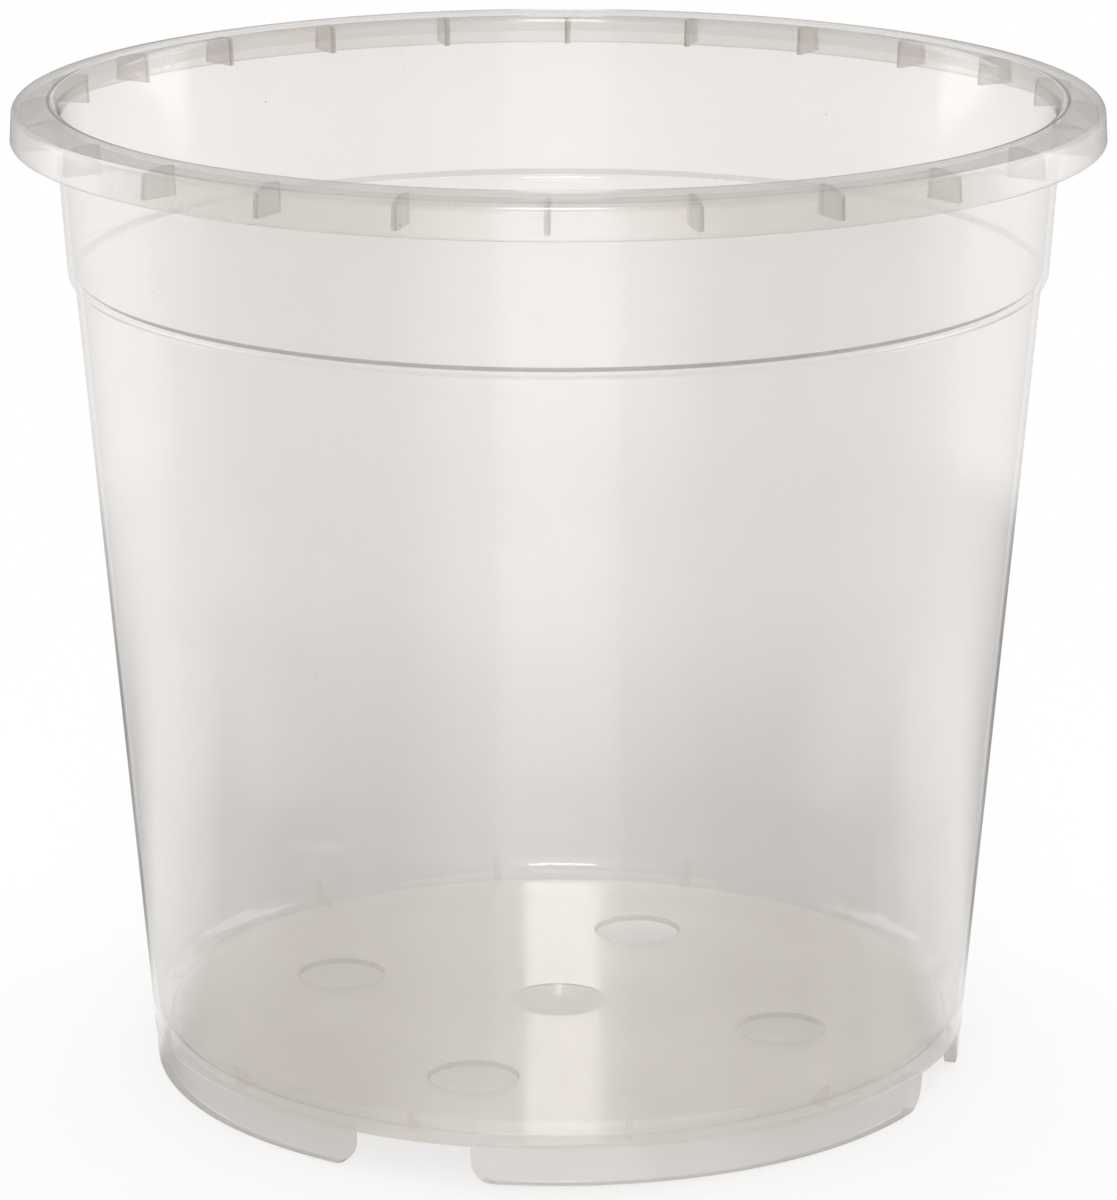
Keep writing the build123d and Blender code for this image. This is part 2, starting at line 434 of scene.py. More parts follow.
def mouldedPlastic(name, **changes):
    look = {**plastic, **changes}
    material = newMaterial(name)
    tree = material.node_tree
    place = node(tree, "ShaderNodeTexCoord").outputs["Object"]

    # slow drift of the haze, streaks that run up the wall as the melt flowed, and grain
    drift = noise(tree, place, marks["driftScale"], detail=1.0)
    upward = node(tree, "ShaderNodeMapping", {"Vector": place, "Scale": marks["streakScale"]}).outputs[0]
    streak = noise(tree, upward, scale=1.0, detail=2.0)
    grain = noise(tree, place, marks["grainScale"], detail=1.0)
    tooth = calc(tree, "SUBTRACT", noise(tree, place, marks["toothScale"]), noiseMiddle)
    mix = calc(tree, "MULTIPLY", drift, marks["driftShare"])
    mix = calc(tree, "MULTIPLY_ADD", streak, marks["streakShare"], mix)
    mix = calc(tree, "MULTIPLY_ADD", grain, marks["grainShare"], mix)
    mix = calc(tree, "MULTIPLY_ADD", tooth, look["fineGrain"], mix)
    swing = calc(tree, "SUBTRACT", mix, 1.0)    # the mix's middle is 1

    # sparse dust specks
    cells = node(tree, "ShaderNodeTexVoronoi", {"Vector": place, "Scale": marks["speckScale"]})
    draw = node(tree, "ShaderNodeSeparateColor", {"Color": cells.outputs["Color"]}).outputs[0]
    speck = calc(tree, "MULTIPLY",
                 calc(tree, "LESS_THAN", cells.outputs["Distance"], look["speckSize"]),
                 calc(tree, "LESS_THAN", draw, look["speckShare"]))

    # hairline scratches: thin curly lines that come and go
    curl = noise(tree, place, marks["hairScale"], detail=1.5)
    offMiddle = calc(tree, "SUBTRACT", curl, noiseMiddle)
    hair = calc(tree, "LESS_THAN", calc(tree, "ABSOLUTE", offMiddle), look["hairWidth"])
    patch = noise(tree, place, marks["hairPatchScale"])
    hair = calc(tree, "MULTIPLY", hair, calc(tree, "GREATER_THAN", patch, marks["hairPatch"]))

    # rubbed patches
    rubPlace = node(tree, "ShaderNodeMapping", {
        "Vector": place, "Scale": marks["rubScale"], "Rotation": marks["rubTurn"]}).outputs[0]
    rub = node(tree, "ShaderNodeTexNoise", {
        "Vector": rubPlace, "Scale": 1.0, "Detail": 3.0, "Roughness": 0.7}).outputs["Fac"]
    rubbed = fade(tree, rub, marks["rubBand"], course="LINEAR")

    # haze: more at the edges, in the painted dark line along the lower wall and through a slanted wall
    facing = node(tree, "ShaderNodeLayerWeight", {"Blend": 0.5}).outputs["Facing"]
    edge = calc(tree, "POWER", facing, look["edgePower"])
    if look["highEdge"] < 1 or look["lineCloud"]:
        height = node(tree, "ShaderNodeSeparateXYZ", {0: place}).outputs["Z"]
    if look["highEdge"] < 1:
        edge = calc(tree, "MULTIPLY", edge, fade(tree, height, marks["highBand"], look["highEdge"]))
    line = 0.0
    if look["lineCloud"]:
        line = calc(tree, "MULTIPLY",
                    fade(tree, height, marks["lineTop"]), fade(tree, height, marks["lineBase"]))
        line = calc(tree, "MULTIPLY", fade(tree, facing, marks["lineBand"]), line)
    span = calc(tree, "POWER", facing, look["spanPower"])
    cloud = calc(tree, "MULTIPLY_ADD", swing, look["cloudSwing"], look["cloud"])
    for source, share in (
            (edge, look["edgeCloud"]),
            (span, look["spanCloud"]),
            (rubbed, marks["rubCloud"]),
            (hair, look["hairCloud"]),
            (line, look["lineCloud"])):
        cloud = calc(tree, "MULTIPLY_ADD", source, share, cloud)
    if look["tiltCloud"]:
        normal = node(tree, "ShaderNodeNewGeometry").outputs["Normal"]
        upright = node(tree, "ShaderNodeSeparateXYZ", {0: normal}).outputs["Z"]
        tilt = fade(tree, calc(tree, "ABSOLUTE", upright), marks["tiltBand"], course="LINEAR")
        cloud = calc(tree, "MULTIPLY_ADD", tilt, look["tiltCloud"], cloud)
    if look["cloudBehind"] != look["cloudBefore"]:
        behind = node(tree, "ShaderNodeNewGeometry").outputs["Backfacing"]
        side = between(tree, behind, look["cloudBefore"], look["cloudBehind"])
        cloud = calc(tree, "MULTIPLY", cloud, side)
    cloud = calc(tree, "MULTIPLY_ADD", speck, marks["speckCloud"], cloud)
    cloud = node(tree, "ShaderNodeClamp", {"Value": cloud}).outputs[0]

    colour = blended(
        tree, fade(tree, swing, marks["swing"], course="LINEAR"), look["dark"], look["light"])
    # darker by dust specks and the longer way through a slanted wall, and by painted shade where a face is
    # seen edge on (partly the longer way through the plastic) and along the painted line
    darkening = calc(tree, "MULTIPLY_ADD", span, marks["spanDark"], calc(tree, "ADD", edge, speck))
    darkening = calc(tree, "ADD", darkening, line)
    darkening = node(tree, "ShaderNodeClamp", {"Value": darkening}).outputs[0]
    colour = blended(tree, darkening, colour, look["edgeColour"])

    roughness = calc(tree, "MULTIPLY_ADD", drift, look["roughSwing"], look["roughness"])
    roughness = calc(tree, "MULTIPLY_ADD", rubbed, marks["rubRoughness"], roughness)
    bump = node(tree, "ShaderNodeBump", {
        "Height": noise(tree, place, marks["waveScale"]), "Strength": look["waviness"],
        "Distance": marks["waveHeight"]}).outputs[0]

    body = node(tree, "ShaderNodeBsdfPrincipled", {
        "Base Color": colour, "Roughness": roughness, "Normal": bump, "IOR": marks["lightBending"]})
    through = node(tree, "ShaderNodeBsdfTranslucent", {"Color": colour, "Normal": bump})
    haze = eitherShader(tree, marks["throughShare"], body, through)
    clear = node(tree, "ShaderNodeBsdfTransparent", {"Color": look["passes"]})
    wall = eitherShader(tree, cloud, clear, haze)

    # a thin gloss, which gives way to the haze at the edges
    gloss = node(tree, "ShaderNodeBsdfGlossy", {"Roughness": roughness, "Normal": bump})
    glancing = calc(tree, "POWER", facing, marks["sheenPower"])
    sheen = calc(tree, "MULTIPLY_ADD", glancing, look["edgeGloss"], look["gloss"])
    inHaze = calc(tree, "MULTIPLY_ADD", edge, -min(1.0, look["edgeCloud"]), 1.0)
    sheen = calc(tree, "MULTIPLY", sheen, inHaze)
    sheen = calc(tree, "MULTIPLY", sheen, calc(tree, "SUBTRACT", 1.0, line))
    seen = eitherShader(tree, sheen, wall, gloss)

    # the pot's own shadow needs none of this detail
    path = node(tree, "ShaderNodeLightPath")
    inShadow = calc(tree, "MAXIMUM", path.outputs["Is Shadow Ray"], path.outputs["Is Diffuse Ray"])
    shade = node(tree, "ShaderNodeBsdfTransparent", {"Color": look["shade"]})
    showShader(tree, eitherShader(tree, inShadow, seen, shade))
    return material


# painted shade: the rim's top has darker colours than the plastic, standing in for light lost inside the
# rim
rimPaintedShadePlastic = mouldedPlastic(
    "rimPaintedShadePlastic", cloud=0.29, cloudSwing=0.03, spanCloud=0.0, tiltCloud=0.07, fineGrain=0.0,
    roughness=0.12, gloss=0.04, edgeGloss=0.18,
    dark=(0.54, 0.508, 0.48, 1), light=(0.62, 0.588, 0.56, 1))
# painted light: the skirt's colours are lighter than the plastic's, standing in for the light on it
skirtPaintedLightPlastic = mouldedPlastic(
    "skirtPaintedLightPlastic", cloud=0.26, cloudSwing=0.02, edgePower=5.0, spanCloud=0.55, spanPower=2.2,
    fineGrain=0.0, waviness=0.03, roughness=0.15, gloss=0.09, edgeGloss=0.0,
    dark=(0.90, 0.865, 0.837, 1), light=(0.96, 0.925, 0.897, 1), edgeColour=(0.24, 0.228, 0.213, 1))
# painted shade: the webs are darker than the plastic, standing in for their shade inside the rim
webPaintedShadePlastic = mouldedPlastic(
    "webPaintedShadePlastic", cloud=0.36, edgeCloud=0.3, fineGrain=0.0, gloss=0.02,
    dark=(0.37, 0.352, 0.335, 1), light=(0.46, 0.44, 0.42, 1))
# painted shade on one half of each web's upright ends
webEndPaintedShadePlastic = mouldedPlastic(
    "webEndPaintedShadePlastic", cloud=0.62, edgeCloud=0.0, fineGrain=0.0, gloss=0.02,
    dark=(0.26, 0.25, 0.235, 1), light=(0.36, 0.345, 0.33, 1))
# painted shade: a dark line low on the wall where it is seen edge on, and edge shade that fades towards the
# top
wallPlastic = mouldedPlastic(
    "wallPlastic", highEdge=0.36, lineCloud=0.85, spanCloud=0.18, edgeColour=(0.11, 0.105, 0.095, 1))
insidePlastic = mouldedPlastic("insidePlastic", edgeCloud=0.0, spanCloud=0.0, edgeGloss=0.25)
# painted shade: a dark line on the faces just above the step, fainter where met from the open air
stepPaintedShadePlastic = mouldedPlastic(
    "stepPaintedShadePlastic", cloud=0.80, cloudBefore=0.35, edgeCloud=0.0, gloss=0.02, edgeGloss=0.1,
    dark=(0.22, 0.21, 0.20, 1), light=(0.32, 0.31, 0.295, 1))
# painted shade: a near-black ring along the rim's inner edge, standing in for light lost inside the lip
lipPaintedShadePlastic = mouldedPlastic(
    "lipPaintedShadePlastic", cloud=0.05, edgeCloud=6.0, edgePower=12.0, spanCloud=0.0, gloss=0.02, edgeGloss=0.1,
    dark=(0.07, 0.066, 0.06, 1), light=(0.11, 0.105, 0.098, 1), edgeColour=(0.03, 0.028, 0.025, 1))
# painted shade: the channel under the rim's top is darker than the plastic
channelPaintedShadePlastic = mouldedPlastic(
    "channelPaintedShadePlastic", cloud=0.19, edgeCloud=0.0, spanCloud=0.0, tiltCloud=0.14, fineGrain=0.0,
    edgeGloss=0.25, dark=(0.62, 0.588, 0.56, 1), light=(0.72, 0.688, 0.66, 1))
# painted light: the floor's colours are lighter than the wall's, standing in for the light falling on it
# from above
floorPaintedLightPlastic = mouldedPlastic(
    "floorPaintedLightPlastic", cloud=0.43, fineGrain=0.0, hairCloud=0.0, speckShare=0.08,
    waviness=0.01, roughness=0.02, edgeGloss=0.76, shade=(0.80, 0.787, 0.777, 1),
    dark=(0.91, 0.875, 0.847, 1), light=(0.98, 0.945, 0.917, 1))
heelPlastic = mouldedPlastic(
    "heelPlastic", cloud=0.19, edgeCloud=0.4, fineGrain=0.0, hairCloud=0.0,
    waviness=0.0, roughness=0.03, roughSwing=0.0, gloss=0.13, edgeGloss=0.35)
# painted light: a lighter line where the heel leaves the floor
heelLinePaintedLightPlastic = mouldedPlastic(
    "heelLinePaintedLightPlastic", cloud=0.42, edgeCloud=0.3, fineGrain=0.0, hairCloud=0.0, edgeGloss=0.3,
    dark=(0.90, 0.87, 0.845, 1), light=(0.94, 0.91, 0.885, 1))
# painted shade: the drain holes' walls are darker than the plastic
holeEdgePaintedShadePlastic = mouldedPlastic(
    "holeEdgePaintedShadePlastic", cloud=0.42, edgeCloud=0.0, hairCloud=0.0, gloss=0.02,
    dark=(0.34, 0.325, 0.305, 1), light=(0.44, 0.42, 0.40, 1))
stubPlastic = mouldedPlastic(
    "stubPlastic", cloud=0.03, edgeCloud=0.0, hairCloud=0.0, gloss=0.01, edgeGloss=0.05)
# painted light: the feet's colours are lighter than the wall's
footPaintedLightPlastic = mouldedPlastic(
    "footPaintedLightPlastic", cloud=0.26, cloudSwing=0.03, edgeCloud=0.2, hairCloud=0.0, gloss=0.10,
    shade=(0.89, 0.878, 0.868, 1), dark=(0.86, 0.825, 0.797, 1), light=(0.95, 0.915, 0.887, 1))
# painted shade: the faces under the foot ring, looking down, are near black
footEdgePaintedShadePlastic = mouldedPlastic(
    "footEdgePaintedShadePlastic", cloud=0.38, hairCloud=0.0, gloss=0.02, edgeGloss=0.1,
    dark=(0.16, 0.152, 0.142, 1), light=(0.22, 0.21, 0.20, 1))
# painted light: the base's outer band is lighter than the wall above it
cornerPaintedLightPlastic = mouldedPlastic(
    "cornerPaintedLightPlastic", cloud=0.16, cloudSwing=0.03, edgeCloud=0.35, spanCloud=0.12, hairCloud=0.0,
    gloss=0.08, dark=(0.78, 0.745, 0.717, 1), light=(0.88, 0.845, 0.817, 1))
ribPlastic = mouldedPlastic("ribPlastic", cloud=0.05, edgeCloud=0.1, gloss=0.03, edgeGloss=0.2)

jointFace = newMaterial("jointFace")
showShader(jointFace.node_tree, node(jointFace.node_tree, "ShaderNodeBsdfTransparent"))

turnedProfile = turnedProfileTree()
ringOfCopies = ringOfCopiesTree()
sweepRadius = 0.05      # metres; the tree moves an outline inwards by as much before it sweeps it


def turnedPiece(name, points, material, closed=True, facets=pot["facets"]):
    piece = outlineObject(name, points, closed)
    addTree(piece, turnedProfile, {"Facets": facets, "Sweep Radius": sweepRadius, "Material": material})
    return plainMesh(piece)


def setRound(piece, count, material, startAngle=0.0):
    addTree(piece, ringOfCopies, {
        "Count": count, "Start Angle": math.radians(startAngle), "Material": material})
    return plainMesh(piece)


# rim
rimSizes = {
    "thickness": 1.1,
    "crestRadius": 80.5,
    "fall": 0.8,
    "skirtHeight": 6.3,
    "flare": 0.4,
    "innerFillet": 2.0,
    "crestFillet": 8.0,
    "outerFillet": 1.4,
    "channelFillet": 0.9,
    "edgeFillet": 0.35,
    # where its painted shade and painted light start and end
    "collarInset": 0.1,
    "channelInset": 0.8,
    "channelUp": 0.3,
    "skirtOutward": 0.75,
    "lipUp": (0.98, 0.9948),
    "lipInward": 0.05,
}


def skirtOuter(height):
    base = pot["height"] - rimSizes["skirtHeight"]
    return lineAt(height, pot["rimRadius"], base, pot["rimRadius"] - rimSizes["flare"], pot["height"])


def skirtInner(height):
    return skirtOuter(height) - rimSizes["thickness"]


def inChannel(face):
    inside = (collarOuter(pot["rimBase"]) - rimSizes["collarInset"]) * mm
    outside = (skirtOuter(skirtBase) - rimSizes["channelInset"]) * mm
    under = face.center.z < underTop * mm + nearGap and face.normal.z < rimSizes["channelUp"]
    return under and inside < face.center.xy.length < outside


def onSkirt(face):
    inside = (skirtOuter(skirtBase) - rimSizes["thickness"]) * mm
    return outward(face) > rimSizes["skirtOutward"] and face.center.xy.length > inside


def onPaintedLip(face):
    low, high = rimSizes["lipUp"]
    return low < face.normal.z < high and outward(face) < -rimSizes["lipInward"]


skirtBase = pot["height"] - rimSizes["skirtHeight"]
outerTop = pot["height"] - rimSizes["fall"]
underTop = pot["height"] - rimSizes["thickness"]
underOuter = outerTop - rimSizes["thickness"]
rim = turnedPiece("rim", roundedOutline([
    (collarInner(pot["rimBase"]), pot["rimBase"]),
    (collarInner(pot["height"]), pot["height"], rimSizes["innerFillet"]),
    (rimSizes["crestRadius"], pot["height"], rimSizes["crestFillet"]),
    (skirtOuter(outerTop), outerTop, rimSizes["outerFillet"]),
    (skirtOuter(skirtBase), skirtBase, rimSizes["edgeFillet"]),
    (skirtInner(skirtBase), skirtBase, rimSizes["edgeFillet"]),
    (skirtInner(underOuter), underOuter, rimSizes["channelFillet"]),
    (rimSizes["crestRadius"], underTop),
    (collarOuter(underTop), underTop, rimSizes["channelFillet"]),
    (collarOuter(pot["rimBase"]), pot["rimBase"]),
]), rimPaintedShadePlastic)
finishedMesh(rim)
hideJoints(rim, [pot["rimBase"]])
paintFaces(rim, channelPaintedShadePlastic, inChannel)
paintFaces(rim, skirtPaintedLightPlastic, onSkirt)
paintFaces(rim, lipPaintedShadePlastic, onPaintedLip)
print("rim turned", len(rim.data.polygons))

# webs in the rim's channel
webSizes = {
    "count": 24,
    "thickness": 0.9,
    "startAngle": 4.3,
    "clearance": 0.8,
    "root": 0.05,               # how far a web goes into what carries it
    "endOutward": 0.7,
}
webLow = skirtBase + webSizes["clearance"]
root = webSizes["root"]
webs = prismObject("rimWebs", [
    (collarOuter(webLow) - root, webLow),
    (skirtInner(webLow) + root, webLow),
    (skirtInner(underOuter) + root, underOuter + root),
    (rimSizes["crestRadius"], underTop + root),
    (collarOuter(underTop) - root, underTop + root),
], webSizes["thickness"], standingPlate)
finishedMesh(setRound(webs, webSizes["count"], webPaintedShadePlastic, webSizes["startAngle"]))


def onPaintedWebEndShade(face):
    # painted shade on one half of each web's upright ends
    pitch = fullTurn / webSizes["count"]
    turn = math.atan2(face.center.y, face.center.x) - math.radians(webSizes["startAngle"])
    return abs(outward(face)) > webSizes["endOutward"] and turn % pitch < pitch / 2


paintFaces(webs, webEndPaintedShadePlastic, onPaintedWebEndShade)
print("webs set", len(webs.data.polygons))

# wall, from the rounded corner up to the rim, with its step
stepSizes = {
    "drop": 1.0,
    "lift": 0.7,
    "outerFillet": 1.2,
    "innerFillet": 0.5,
    "lineUp": 0.2,              # the step's painted dark line is on faces that look up more than this
    "lineBand": (0.1, 1.5),     # at this height above the step
    "insideInward": 0.5,
}


def onPaintedStepLine(face):
    low, high = [(pot["stepHeight"] + rise) * mm for rise in stepSizes["lineBand"]]
    return face.normal.z > stepSizes["lineUp"] and low < face.center.z < high


ledge = pot["stepHeight"] - stepSizes["drop"]
wall = turnedPiece("wall", roundedOutline([
    (wallInner(pot["wallBase"]), pot["wallBase"]),
    (wallOuter(pot["wallBase"]), pot["wallBase"]),
    (wallOuter(ledge), ledge, stepSizes["innerFillet"]),
    (collarOuter(pot["stepHeight"]), pot["stepHeight"], stepSizes["outerFillet"]),
    (collarOuter(pot["rimBase"]), pot["rimBase"]),
    (collarInner(pot["rimBase"]), pot["rimBase"]),
    (collarInner(pot["stepHeight"]), pot["stepHeight"] + stepSizes["lift"], stepSizes["innerFillet"]),
    (wallInner(ledge), ledge + stepSizes["lift"], stepSizes["outerFillet"]),
]), wallPlastic)
finishedMesh(wall)
hideJoints(wall, [pot["wallBase"], pot["rimBase"]])
paintFaces(wall, insidePlastic, lambda face: outward(face) < -stepSizes["insideInward"])
paintFaces(wall, stepPaintedShadePlastic, onPaintedStepLine)
print("wall turned", len(wall.data.polygons))

# base: floor with its dome, rounded corner and foot ring, then holes and slots
baseSizes = {
    "heelFillet": 3.4,
    "footTopThickness": 2.4,
    "footBaseThickness": 1.8,
    "footOuterFillet": 0.6,
    "footInnerFillet": 0.35,
    "domeRadius": 8.0,
    "domeRise": 1.5,
    "domeSteps": 12,
    "gateRadius": 1.2,
    "gateLength": 0.9,
    "holeCount": 4,
    "holeRadius": 7.0,
    "holeRing": 38.0,
    "holeEdge": 0.3,
    "holeEdgeSteps": 5,
    "holeFacets": 96,
    "slotCount": 4,
    "slotWidth": 19.5,
    "slotCorner": 3.6,
    "slotCornerSteps": 8,
    "partingHeight": 6.45,
    "partingRidge": 0.06,
    # how far the cutters reach
    "drillClearance": 1.0,
    "slotBelow": 5.0,
    "slotRadius": 65.0,
    "slotLength": 50.0,
    # where its finishes, painted shade and painted light start and end
    "besideHoles": 10.0,
    "footEdgeDown": 0.78,
    "footEdgeHeight": 1.0,
    "cornerOutward": 0.5,
    "heelRise": 0.02,
    "heelInward": 0.2,
    "heelLineUp": (0.96, 0.9985),
    "heelLineRise": 0.005,
    "stubMargin": 0.1,
    "holeUpright": 0.9,
    "holeMargin": 1.0,
}


def capHeight(radius, base):
    edgeRadius, rise = baseSizes["domeRadius"], baseSizes["domeRise"]
    sphere = (edgeRadius ** 2 + rise ** 2) / (2 * rise)
    return base + rise - sphere + math.sqrt(sphere ** 2 - radius ** 2)


def capPoints(base, radii):
    return [(radius, capHeight(radius, base)) for radius in radii]


underside, floorTop = pot["floorUnderside"], pot["floorTop"]
gateBase = underside + baseSizes["domeRise"] - baseSizes["gateLength"]
gateRadius, domeRadius, domeSteps = baseSizes["gateRadius"], baseSizes["domeRadius"], baseSizes["domeSteps"]
domeRadii = [domeRadius * share / domeSteps for share in range(domeSteps + 1)]
partingHeight, ridge = baseSizes["partingHeight"], baseSizes["partingRidge"]
base = turnedPiece("base", roundedOutline(
    [(0, gateBase), (gateRadius, gateBase), (gateRadius, capHeight(gateRadius, underside))]
    + capPoints(underside, [radius for radius in domeRadii if radius > gateRadius])
    + [
        (wallOuter(underside) - baseSizes["footTopThickness"], underside),
        (wallOuter(0) - baseSizes["footBaseThickness"], 0, baseSizes["footInnerFillet"]),
        (wallOuter(0), 0, baseSizes["footOuterFillet"]),
        (wallOuter(partingHeight - ridge), partingHeight - ridge),
        (wallOuter(partingHeight) + ridge, partingHeight),
        (wallOuter(partingHeight + ridge), partingHeight + ridge),
        (wallOuter(pot["wallBase"]), pot["wallBase"]),
        (wallInner(pot["wallBase"]), pot["wallBase"]),
        (wallInner(floorTop), floorTop, baseSizes["heelFillet"]),
    ]
    + capPoints(floorTop, reversed(domeRadii)), closed=False), floorPaintedLightPlastic, closed=False)

holeRadius, holeEdge = baseSizes["holeRadius"], baseSizes["holeEdge"]
clearance = baseSizes["drillClearance"]
mouth = flaredMouth(holeEdge, baseSizes["holeEdgeSteps"])
drill = turnedPiece(
    "drill",
    [(0, underside - clearance), (holeRadius + holeEdge, underside - clearance)]
    + [(holeRadius + wide, underside + rise) for wide, rise in mouth]
    + [(holeRadius + wide, floorTop - rise) for wide, rise in reversed(mouth)]
    + [(holeRadius + holeEdge, floorTop + clearance), (0, floorTop + clearance)],
    floorPaintedLightPlastic, closed=False, facets=baseSizes["holeFacets"])
drill.data.transform(Matrix.Translation((baseSizes["holeRing"] * mm, 0, 0)))
setRound(drill, baseSizes["holeCount"], floorPaintedLightPlastic)

half, corner = baseSizes["slotWidth"] / 2, baseSizes["slotCorner"]
slotOutline = [(half + corner, -baseSizes["slotBelow"])]
mouth = flaredMouth(corner, baseSizes["slotCornerSteps"])
slotOutline += [(half + wide, rise) for wide, rise in mouth]
slotOutline += [(half, underside)]
slotOutline += [(-across, height) for across, height in reversed(slotOutline)]
slotCutter = prismObject(
    "slotCutter", slotOutline, baseSizes["slotLength"],
    lambda point, side: (baseSizes["slotRadius"] + side, point[0], point[1]))
setRound(slotCutter, baseSizes["slotCount"], floorPaintedLightPlastic)

for cutter in (drill, slotCutter):
    cut = base.modifiers.new(cutter.name, "BOOLEAN")
    cut.operation = "DIFFERENCE"
    cut.solver = "EXACT"
    cut.object = cutter
plainMesh(base)
for cutter in (drill, slotCutter):
    bpy.data.objects.remove(cutter)
while len(base.data.materials) > 1:
    base.data.materials.pop()
finishedMesh(base)
wallSide = (baseSizes["holeRing"] + holeRadius + baseSizes["besideHoles"]) * mm


def byWall(face):
    return face.center.xy.length > wallSide


def onFoot(face):
    return byWall(face) and face.center.z < underside * mm - nearGap


def onFootEdge(face):
    return face.normal.z < -baseSizes["footEdgeDown"] and face.center.z < baseSizes["footEdgeHeight"] * mm


def onCorner(face):
    return outward(face) > baseSizes["cornerOutward"] and face.center.z > underside * mm


def onHeel(face):
    above = face.center.z > (floorTop + baseSizes["heelRise"]) * mm
    return above and outward(face) < -baseSizes["heelInward"] and byWall(face)


def onPaintedHeelLine(face):
    # painted light line where the heel leaves the floor
    low, high = baseSizes["heelLineUp"]
    above = face.center.z > (floorTop + baseSizes["heelLineRise"]) * mm
    return above and low < face.normal.z < high and byWall(face)


def onStub(face):
    within = (gateRadius + baseSizes["stubMargin"]) * mm
    return face.center.xy.length < within and face.center.z < floorTop * mm


def inHole(face):
    offRing = abs(face.center.xy.length - baseSizes["holeRing"] * mm)
    inFloor = underside * mm < face.center.z < floorTop * mm
    upright = abs(face.normal.z) < baseSizes["holeUpright"]
    return upright and inFloor and offRing < (holeRadius + baseSizes["holeMargin"]) * mm


hideJoints(base, [pot["wallBase"]])
paintFaces(base, footPaintedLightPlastic, onFoot)
paintFaces(base, footEdgePaintedShadePlastic, onFootEdge)
paintFaces(base, cornerPaintedLightPlastic, onCorner)
paintFaces(base, heelPlastic, onHeel)
paintFaces(base, heelLinePaintedLightPlastic, onPaintedHeelLine)
paintFaces(base, stubPlastic, onStub)
paintFaces(base, holeEdgePaintedShadePlastic, inHole)
print("base cut", len(base.data.polygons))

# ribs across the rounded corner
ribSizes = {"count": 12, "thickness": 0.8, "reach": 3.73, "root": 0.05}
root = ribSizes["root"]
ribHigh = floorTop + ribSizes["reach"]
ribs = prismObject("floorRibs", [
    (wallInner(floorTop) - ribSizes["reach"], floorTop - root),
    (wallInner(floorTop) + root, floorTop - root),
    (wallInner(ribHigh) + root, ribHigh),
    (wallInner(ribHigh), ribHigh),
    (wallInner(floorTop) - ribSizes["reach"], floorTop),
], ribSizes["thickness"], standingPlate)
finishedMesh(setRound(ribs, ribSizes["count"], ribPlastic))
print("ribs set", len(ribs.data.polygons))


# what each piece stands for

def nodesNamed(start):
    return [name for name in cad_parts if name.startswith(start)]


standsFor = [
    (rim, "rim_plastic", ["rim_top", "rim_skirt"]),
    (webs, "rim_plastic", nodesNamed("rim_web")),
    (wall, "wall_plastic", ["collar", "shoulder", "side_wall"]),
    (base, "floor_plastic", ["heel", "floor_plate", "gate_dome"] + nodesNamed("foot_")),
    (ribs, "floor_plastic", nodesNamed("floor_rib")),
]
for piece, slot, nodes in standsFor:
    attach(piece, "root")
    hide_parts(*nodes)

# camera, with its place in metres, and the level directions that the studio is laid out by
camera = {
    "bearing": math.radians(20.4),   # round the pot from -Y
    "distance": 0.8436,
    "height": 0.3059,
    "pitch": math.radians(15.35),
    "lens": 165.0,                   # millimetres, and the sensor too
    "sensor": 36.0,
    "sees": (0.01, 20.0),            # from this far to this far
}
frontOfStudio = Vector((math.sin(camera["bearing"]), -math.cos(camera["bearing"]), 0))
rightOfStudio = Vector((math.cos(camera["bearing"]), math.sin(camera["bearing"]), 0))

# floor of white paper; each band is where a change starts and ends, in metres from the pot's axis
paper = {
    "radius": 3.0,
    "facets": 128,
    "drop": 0.0003,
    "bareBand": (0.066, 0.30),      # paper seen past the pot is lifted to plain white
    "bareLift": (0.55, 1.0),
    "throughBand": (0.066, 0.9),    # and paper seen through it, farther out
    "throughLift": (0.0, 0.9),
    "mirrorLift": 0.7,
    "farBand": (0.18, 0.32),        # from nearPaperGlow's levels to farPaperGlow's
    "rightBand": (0.0, 0.4),        # this one as a cosine of the turn to the right
    "rightShare": 0.64,
    "underfootBand": (0.085, 0.15),
    "underfootShare": 0.7,
    "farthestBand": (0.33, 0.38),
    "farthestShare": 1.25,
    "shadowIn": (0.063, 0.078),     # the shadow seen through the pot
    "shadowOut": (0.10, 0.32),
    "shadowBehind": (-0.35, -0.8),  # this one as a cosine of the turn from the camera's side
    "colour": (0.93, 0.93, 0.93, 1),
    "shadowColour": (0.63, 0.63, 0.63, 1),
    "toothScale": 400.0,
    "toothStrength": 0.05,
    "toothHeight": 0.0005,
}

# how bright the room and the paper's painted glow in what the pot mirrors are all round, as (cosine of the
# turn from the camera's side, level)
roomLevels = [
    (-1.0, 0.95), (-0.75, 0.75), (-0.2, 0.7), (0.15, 0.4), (0.62, 0.3), (0.82, 0.36), (0.94, 0.85),
    (0.972, 1.0), (0.979, 1.8)]
nearPaperGlow = [
    (-1.0, 0.15), (-0.88, 0.6), (-0.72, 1.3), (-0.645, 1.1), (-0.5, 1.9), (-0.39, 2.5), (-0.2, 2.5),
    (0.0, 1.9), (0.15, 0.6), (0.62, 0.25), (0.82, 0.4), (0.94, 1.3), (0.972, 1.5), (0.979, 2.2)]
farPaperGlow = [
    (-1.0, 0.75), (-0.95, 1.0), (-0.8, 1.35), (-0.6, 1.7), (-0.3, 1.85), (-0.1, 1.1), (0.15, 0.4),
    (0.62, 0.25), (0.82, 0.4), (0.94, 1.3), (0.972, 1.5), (0.979, 2.2)]


def along(tree, place, direction):
    made = node(tree, "ShaderNodeVectorMath", {0: place, 1: direction}, operation="DOT_PRODUCT")
    return made.outputs["Value"]


